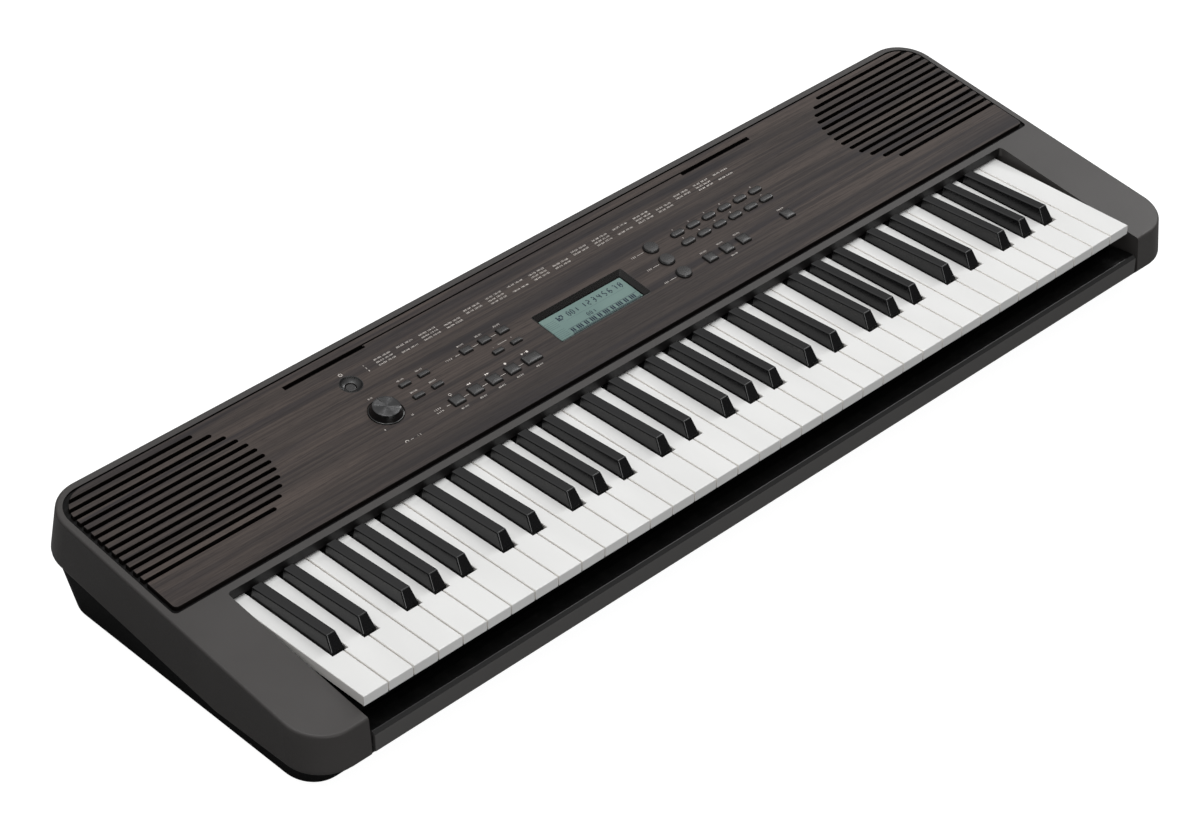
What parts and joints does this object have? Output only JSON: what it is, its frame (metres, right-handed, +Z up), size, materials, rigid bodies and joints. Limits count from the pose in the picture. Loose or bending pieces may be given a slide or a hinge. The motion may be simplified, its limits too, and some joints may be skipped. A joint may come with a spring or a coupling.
{
  "type": "arranger keyboard",
  "caption": "Electronic arranger keyboard: sprung piano keys in a sloping case, with a wood-look panel that holds a display, push buttons, a volume knob and slotted speaker grilles.",
  "frame": {"origin": "on the floor, under the middle of the case", "axes": "+X to the player's right along the keys, +Y to the back, +Z up"},
  "size_m": [0.94, 0.317, 0.106],
  "materials": {
    "case_plastic": "satin",
    "tub_plastic": "matte",
    "panel_wood": "satin",
    "rail_plastic": "gloss",
    "white_key": "gloss",
    "black_key": "satin",
    "board": "matte",
    "display": "gloss",
    "speaker": "matte",
    "jack_plastic": "satin",
    "foot_rubber": "matte",
    "screw_steel": "satin",
    "button": "satin",
    "knob_metal": "spun"
  },
  "bodies": {
    "case": {"upper_case": "case_plastic", "lower_case": "tub_plastic", "control_panel": "panel_wood", "front_rail": "rail_plastic", "key_chassis": "tub_plastic", "contact_boards": "board", "circuit_boards": "board", "display_module": "display", "speakers": "speaker", "rear_jacks": "jack_plastic", "rubber_feet": "foot_rubber", "case_screws": "screw_steel"},
    "white_key_01": {"white_key_01": "white_key"},
    "white_key_02": {"white_key_02": "white_key"},
    "white_key_03": {"white_key_03": "white_key"},
    "white_key_04": {"white_key_04": "white_key"},
    "white_key_05": {"white_key_05": "white_key"},
    "white_key_06": {"white_key_06": "white_key"},
    "white_key_07": {"white_key_07": "white_key"},
    "white_key_08": {"white_key_08": "white_key"},
    "white_key_09": {"white_key_09": "white_key"},
    "white_key_10": {"white_key_10": "white_key"},
    "white_key_11": {"white_key_11": "white_key"},
    "white_key_12": {"white_key_12": "white_key"},
    "white_key_13": {"white_key_13": "white_key"},
    "white_key_14": {"white_key_14": "white_key"},
    "white_key_15": {"white_key_15": "white_key"},
    "white_key_16": {"white_key_16": "white_key"},
    "white_key_17": {"white_key_17": "white_key"},
    "white_key_18": {"white_key_18": "white_key"},
    "white_key_19": {"white_key_19": "white_key"},
    "white_key_20": {"white_key_20": "white_key"},
    "white_key_21": {"white_key_21": "white_key"},
    "white_key_22": {"white_key_22": "white_key"},
    "white_key_23": {"white_key_23": "white_key"},
    "white_key_24": {"white_key_24": "white_key"},
    "white_key_25": {"white_key_25": "white_key"},
    "white_key_26": {"white_key_26": "white_key"},
    "white_key_27": {"white_key_27": "white_key"},
    "white_key_28": {"white_key_28": "white_key"},
    "white_key_29": {"white_key_29": "white_key"},
    "white_key_30": {"white_key_30": "white_key"},
    "white_key_31": {"white_key_31": "white_key"},
    "white_key_32": {"white_key_32": "white_key"},
    "white_key_33": {"white_key_33": "white_key"},
    "white_key_34": {"white_key_34": "white_key"},
    "white_key_35": {"white_key_35": "white_key"},
    "white_key_36": {"white_key_36": "white_key"},
    "black_keys_octave_1": {"black_keys_octave_1": "black_key"},
    "black_keys_octave_2": {"black_keys_octave_2": "black_key"},
    "black_keys_octave_3": {"black_keys_octave_3": "black_key"},
    "black_keys_octave_4": {"black_keys_octave_4": "black_key"},
    "black_keys_octave_5": {"black_keys_octave_5": "black_key"},
    "power_button": {"power_button": "button"},
    "mode_buttons": {"mode_buttons": "button"},
    "song_buttons": {"song_buttons": "button"},
    "category_buttons": {"category_buttons": "button"},
    "number_buttons": {"number_buttons": "button"},
    "function_buttons": {"function_buttons": "button"},
    "volume_knob": {"volume_knob": "knob_metal"}
  },
  "joints": [
    {"name": "white_key_01_hinge", "type": "hinge", "parent": "case", "child": "white_key_01", "pos_m": [0, 0.0408, 0.0672], "axis": [1, 0, 0], "range_deg": [0, 3], "stiffness_Nm_per_rad": 0.6, "springref_deg": -11.46},
    {"name": "white_key_02_hinge", "type": "hinge", "parent": "case", "child": "white_key_02", "pos_m": [0, 0.0408, 0.0672], "axis": [1, 0, 0], "range_deg": [0, 3], "stiffness_Nm_per_rad": 0.6, "springref_deg": -11.46},
    {"name": "white_key_03_hinge", "type": "hinge", "parent": "case", "child": "white_key_03", "pos_m": [0, 0.0408, 0.0672], "axis": [1, 0, 0], "range_deg": [0, 3], "stiffness_Nm_per_rad": 0.6, "springref_deg": -11.46},
    {"name": "white_key_04_hinge", "type": "hinge", "parent": "case", "child": "white_key_04", "pos_m": [0, 0.0408, 0.0672], "axis": [1, 0, 0], "range_deg": [0, 3], "stiffness_Nm_per_rad": 0.6, "springref_deg": -11.46},
    {"name": "white_key_05_hinge", "type": "hinge", "parent": "case", "child": "white_key_05", "pos_m": [0, 0.0408, 0.0672], "axis": [1, 0, 0], "range_deg": [0, 3], "stiffness_Nm_per_rad": 0.6, "springref_deg": -11.46},
    {"name": "white_key_06_hinge", "type": "hinge", "parent": "case", "child": "white_key_06", "pos_m": [0, 0.0408, 0.0672], "axis": [1, 0, 0], "range_deg": [0, 3], "stiffness_Nm_per_rad": 0.6, "springref_deg": -11.46},
    {"name": "white_key_07_hinge", "type": "hinge", "parent": "case", "child": "white_key_07", "pos_m": [0, 0.0408, 0.0672], "axis": [1, 0, 0], "range_deg": [0, 3], "stiffness_Nm_per_rad": 0.6, "springref_deg": -11.46},
    {"name": "white_key_08_hinge", "type": "hinge", "parent": "case", "child": "white_key_08", "pos_m": [0, 0.0408, 0.0672], "axis": [1, 0, 0], "range_deg": [0, 3], "stiffness_Nm_per_rad": 0.6, "springref_deg": -11.46},
    {"name": "white_key_09_hinge", "type": "hinge", "parent": "case", "child": "white_key_09", "pos_m": [0, 0.0408, 0.0672], "axis": [1, 0, 0], "range_deg": [0, 3], "stiffness_Nm_per_rad": 0.6, "springref_deg": -11.46},
    {"name": "white_key_10_hinge", "type": "hinge", "parent": "case", "child": "white_key_10", "pos_m": [0, 0.0408, 0.0672], "axis": [1, 0, 0], "range_deg": [0, 3], "stiffness_Nm_per_rad": 0.6, "springref_deg": -11.46},
    {"name": "white_key_11_hinge", "type": "hinge", "parent": "case", "child": "white_key_11", "pos_m": [0, 0.0408, 0.0672], "axis": [1, 0, 0], "range_deg": [0, 3], "stiffness_Nm_per_rad": 0.6, "springref_deg": -11.46},
    {"name": "white_key_12_hinge", "type": "hinge", "parent": "case", "child": "white_key_12", "pos_m": [0, 0.0408, 0.0672], "axis": [1, 0, 0], "range_deg": [0, 3], "stiffness_Nm_per_rad": 0.6, "springref_deg": -11.46},
    {"name": "white_key_13_hinge", "type": "hinge", "parent": "case", "child": "white_key_13", "pos_m": [0, 0.0408, 0.0672], "axis": [1, 0, 0], "range_deg": [0, 3], "stiffness_Nm_per_rad": 0.6, "springref_deg": -11.46},
    {"name": "white_key_14_hinge", "type": "hinge", "parent": "case", "child": "white_key_14", "pos_m": [0, 0.0408, 0.0672], "axis": [1, 0, 0], "range_deg": [0, 3], "stiffness_Nm_per_rad": 0.6, "springref_deg": -11.46},
    {"name": "white_key_15_hinge", "type": "hinge", "parent": "case", "child": "white_key_15", "pos_m": [0, 0.0408, 0.0672], "axis": [1, 0, 0], "range_deg": [0, 3], "stiffness_Nm_per_rad": 0.6, "springref_deg": -11.46},
    {"name": "white_key_16_hinge", "type": "hinge", "parent": "case", "child": "white_key_16", "pos_m": [0, 0.0408, 0.0672], "axis": [1, 0, 0], "range_deg": [0, 3], "stiffness_Nm_per_rad": 0.6, "springref_deg": -11.46},
    {"name": "white_key_17_hinge", "type": "hinge", "parent": "case", "child": "white_key_17", "pos_m": [0, 0.0408, 0.0672], "axis": [1, 0, 0], "range_deg": [0, 3], "stiffness_Nm_per_rad": 0.6, "springref_deg": -11.46},
    {"name": "white_key_18_hinge", "type": "hinge", "parent": "case", "child": "white_key_18", "pos_m": [0, 0.0408, 0.0672], "axis": [1, 0, 0], "range_deg": [0, 3], "stiffness_Nm_per_rad": 0.6, "springref_deg": -11.46},
    {"name": "white_key_19_hinge", "type": "hinge", "parent": "case", "child": "white_key_19", "pos_m": [0, 0.0408, 0.0672], "axis": [1, 0, 0], "range_deg": [0, 3], "stiffness_Nm_per_rad": 0.6, "springref_deg": -11.46},
    {"name": "white_key_20_hinge", "type": "hinge", "parent": "case", "child": "white_key_20", "pos_m": [0, 0.0408, 0.0672], "axis": [1, 0, 0], "range_deg": [0, 3], "stiffness_Nm_per_rad": 0.6, "springref_deg": -11.46},
    {"name": "white_key_21_hinge", "type": "hinge", "parent": "case", "child": "white_key_21", "pos_m": [0, 0.0408, 0.0672], "axis": [1, 0, 0], "range_deg": [0, 3], "stiffness_Nm_per_rad": 0.6, "springref_deg": -11.46},
    {"name": "white_key_22_hinge", "type": "hinge", "parent": "case", "child": "white_key_22", "pos_m": [0, 0.0408, 0.0672], "axis": [1, 0, 0], "range_deg": [0, 3], "stiffness_Nm_per_rad": 0.6, "springref_deg": -11.46},
    {"name": "white_key_23_hinge", "type": "hinge", "parent": "case", "child": "white_key_23", "pos_m": [0, 0.0408, 0.0672], "axis": [1, 0, 0], "range_deg": [0, 3], "stiffness_Nm_per_rad": 0.6, "springref_deg": -11.46},
    {"name": "white_key_24_hinge", "type": "hinge", "parent": "case", "child": "white_key_24", "pos_m": [0, 0.0408, 0.0672], "axis": [1, 0, 0], "range_deg": [0, 3], "stiffness_Nm_per_rad": 0.6, "springref_deg": -11.46},
    {"name": "white_key_25_hinge", "type": "hinge", "parent": "case", "child": "white_key_25", "pos_m": [0, 0.0408, 0.0672], "axis": [1, 0, 0], "range_deg": [0, 3], "stiffness_Nm_per_rad": 0.6, "springref_deg": -11.46},
    {"name": "white_key_26_hinge", "type": "hinge", "parent": "case", "child": "white_key_26", "pos_m": [0, 0.0408, 0.0672], "axis": [1, 0, 0], "range_deg": [0, 3], "stiffness_Nm_per_rad": 0.6, "springref_deg": -11.46},
    {"name": "white_key_27_hinge", "type": "hinge", "parent": "case", "child": "white_key_27", "pos_m": [0, 0.0408, 0.0672], "axis": [1, 0, 0], "range_deg": [0, 3], "stiffness_Nm_per_rad": 0.6, "springref_deg": -11.46},
    {"name": "white_key_28_hinge", "type": "hinge", "parent": "case", "child": "white_key_28", "pos_m": [0, 0.0408, 0.0672], "axis": [1, 0, 0], "range_deg": [0, 3], "stiffness_Nm_per_rad": 0.6, "springref_deg": -11.46},
    {"name": "white_key_29_hinge", "type": "hinge", "parent": "case", "child": "white_key_29", "pos_m": [0, 0.0408, 0.0672], "axis": [1, 0, 0], "range_deg": [0, 3], "stiffness_Nm_per_rad": 0.6, "springref_deg": -11.46},
    {"name": "white_key_30_hinge", "type": "hinge", "parent": "case", "child": "white_key_30", "pos_m": [0, 0.0408, 0.0672], "axis": [1, 0, 0], "range_deg": [0, 3], "stiffness_Nm_per_rad": 0.6, "springref_deg": -11.46},
    {"name": "white_key_31_hinge", "type": "hinge", "parent": "case", "child": "white_key_31", "pos_m": [0, 0.0408, 0.0672], "axis": [1, 0, 0], "range_deg": [0, 3], "stiffness_Nm_per_rad": 0.6, "springref_deg": -11.46},
    {"name": "white_key_32_hinge", "type": "hinge", "parent": "case", "child": "white_key_32", "pos_m": [0, 0.0408, 0.0672], "axis": [1, 0, 0], "range_deg": [0, 3], "stiffness_Nm_per_rad": 0.6, "springref_deg": -11.46},
    {"name": "white_key_33_hinge", "type": "hinge", "parent": "case", "child": "white_key_33", "pos_m": [0, 0.0408, 0.0672], "axis": [1, 0, 0], "range_deg": [0, 3], "stiffness_Nm_per_rad": 0.6, "springref_deg": -11.46},
    {"name": "white_key_34_hinge", "type": "hinge", "parent": "case", "child": "white_key_34", "pos_m": [0, 0.0408, 0.0672], "axis": [1, 0, 0], "range_deg": [0, 3], "stiffness_Nm_per_rad": 0.6, "springref_deg": -11.46},
    {"name": "white_key_35_hinge", "type": "hinge", "parent": "case", "child": "white_key_35", "pos_m": [0, 0.0408, 0.0672], "axis": [1, 0, 0], "range_deg": [0, 3], "stiffness_Nm_per_rad": 0.6, "springref_deg": -11.46},
    {"name": "white_key_36_hinge", "type": "hinge", "parent": "case", "child": "white_key_36", "pos_m": [0, 0.0408, 0.0672], "axis": [1, 0, 0], "range_deg": [0, 3], "stiffness_Nm_per_rad": 0.6, "springref_deg": -11.46},
    {"name": "black_keys_octave_1_hinge", "type": "hinge", "parent": "case", "child": "black_keys_octave_1", "pos_m": [0, 0.0408, 0.0672], "axis": [1, 0, 0], "range_deg": [0, 3], "stiffness_Nm_per_rad": 3, "springref_deg": -11.46},
    {"name": "black_keys_octave_2_hinge", "type": "hinge", "parent": "case", "child": "black_keys_octave_2", "pos_m": [0, 0.0408, 0.0672], "axis": [1, 0, 0], "range_deg": [0, 3], "stiffness_Nm_per_rad": 3, "springref_deg": -11.46},
    {"name": "black_keys_octave_3_hinge", "type": "hinge", "parent": "case", "child": "black_keys_octave_3", "pos_m": [0, 0.0408, 0.0672], "axis": [1, 0, 0], "range_deg": [0, 3], "stiffness_Nm_per_rad": 3, "springref_deg": -11.46},
    {"name": "black_keys_octave_4_hinge", "type": "hinge", "parent": "case", "child": "black_keys_octave_4", "pos_m": [0, 0.0408, 0.0672], "axis": [1, 0, 0], "range_deg": [0, 3], "stiffness_Nm_per_rad": 3, "springref_deg": -11.46},
    {"name": "black_keys_octave_5_hinge", "type": "hinge", "parent": "case", "child": "black_keys_octave_5", "pos_m": [0, 0.0408, 0.0672], "axis": [1, 0, 0], "range_deg": [0, 3], "stiffness_Nm_per_rad": 3, "springref_deg": -11.46},
    {"name": "power_button_press", "type": "slide", "parent": "case", "child": "power_button", "axis": [0, 0.14, -0.9901], "range_m": [0, 0.0008], "stiffness_N_per_m": 800, "springref_m": -0.001},
    {"name": "mode_buttons_press", "type": "slide", "parent": "case", "child": "mode_buttons", "axis": [0, 0.14, -0.9901], "range_m": [0, 0.0008], "stiffness_N_per_m": 7200, "springref_m": -0.001},
    {"name": "song_buttons_press", "type": "slide", "parent": "case", "child": "song_buttons", "axis": [0, 0.14, -0.9901], "range_m": [0, 0.0008], "stiffness_N_per_m": 4000, "springref_m": -0.001},
    {"name": "category_buttons_press", "type": "slide", "parent": "case", "child": "category_buttons", "axis": [0, 0.14, -0.9901], "range_m": [0, 0.0008], "stiffness_N_per_m": 2400, "springref_m": -0.001},
    {"name": "number_buttons_press", "type": "slide", "parent": "case", "child": "number_buttons", "axis": [0, 0.14, -0.9901], "range_m": [0, 0.0008], "stiffness_N_per_m": 9600, "springref_m": -0.001},
    {"name": "function_buttons_press", "type": "slide", "parent": "case", "child": "function_buttons", "axis": [0, 0.14, -0.9901], "range_m": [0, 0.0008], "stiffness_N_per_m": 3200, "springref_m": -0.001},
    {"name": "volume_turn", "type": "hinge", "parent": "case", "child": "volume_knob", "pos_m": [-0.2088, 0.06345, 0.09537], "axis": [0, -0.14, 0.9901], "range_deg": [-150, 150]}
  ]
}
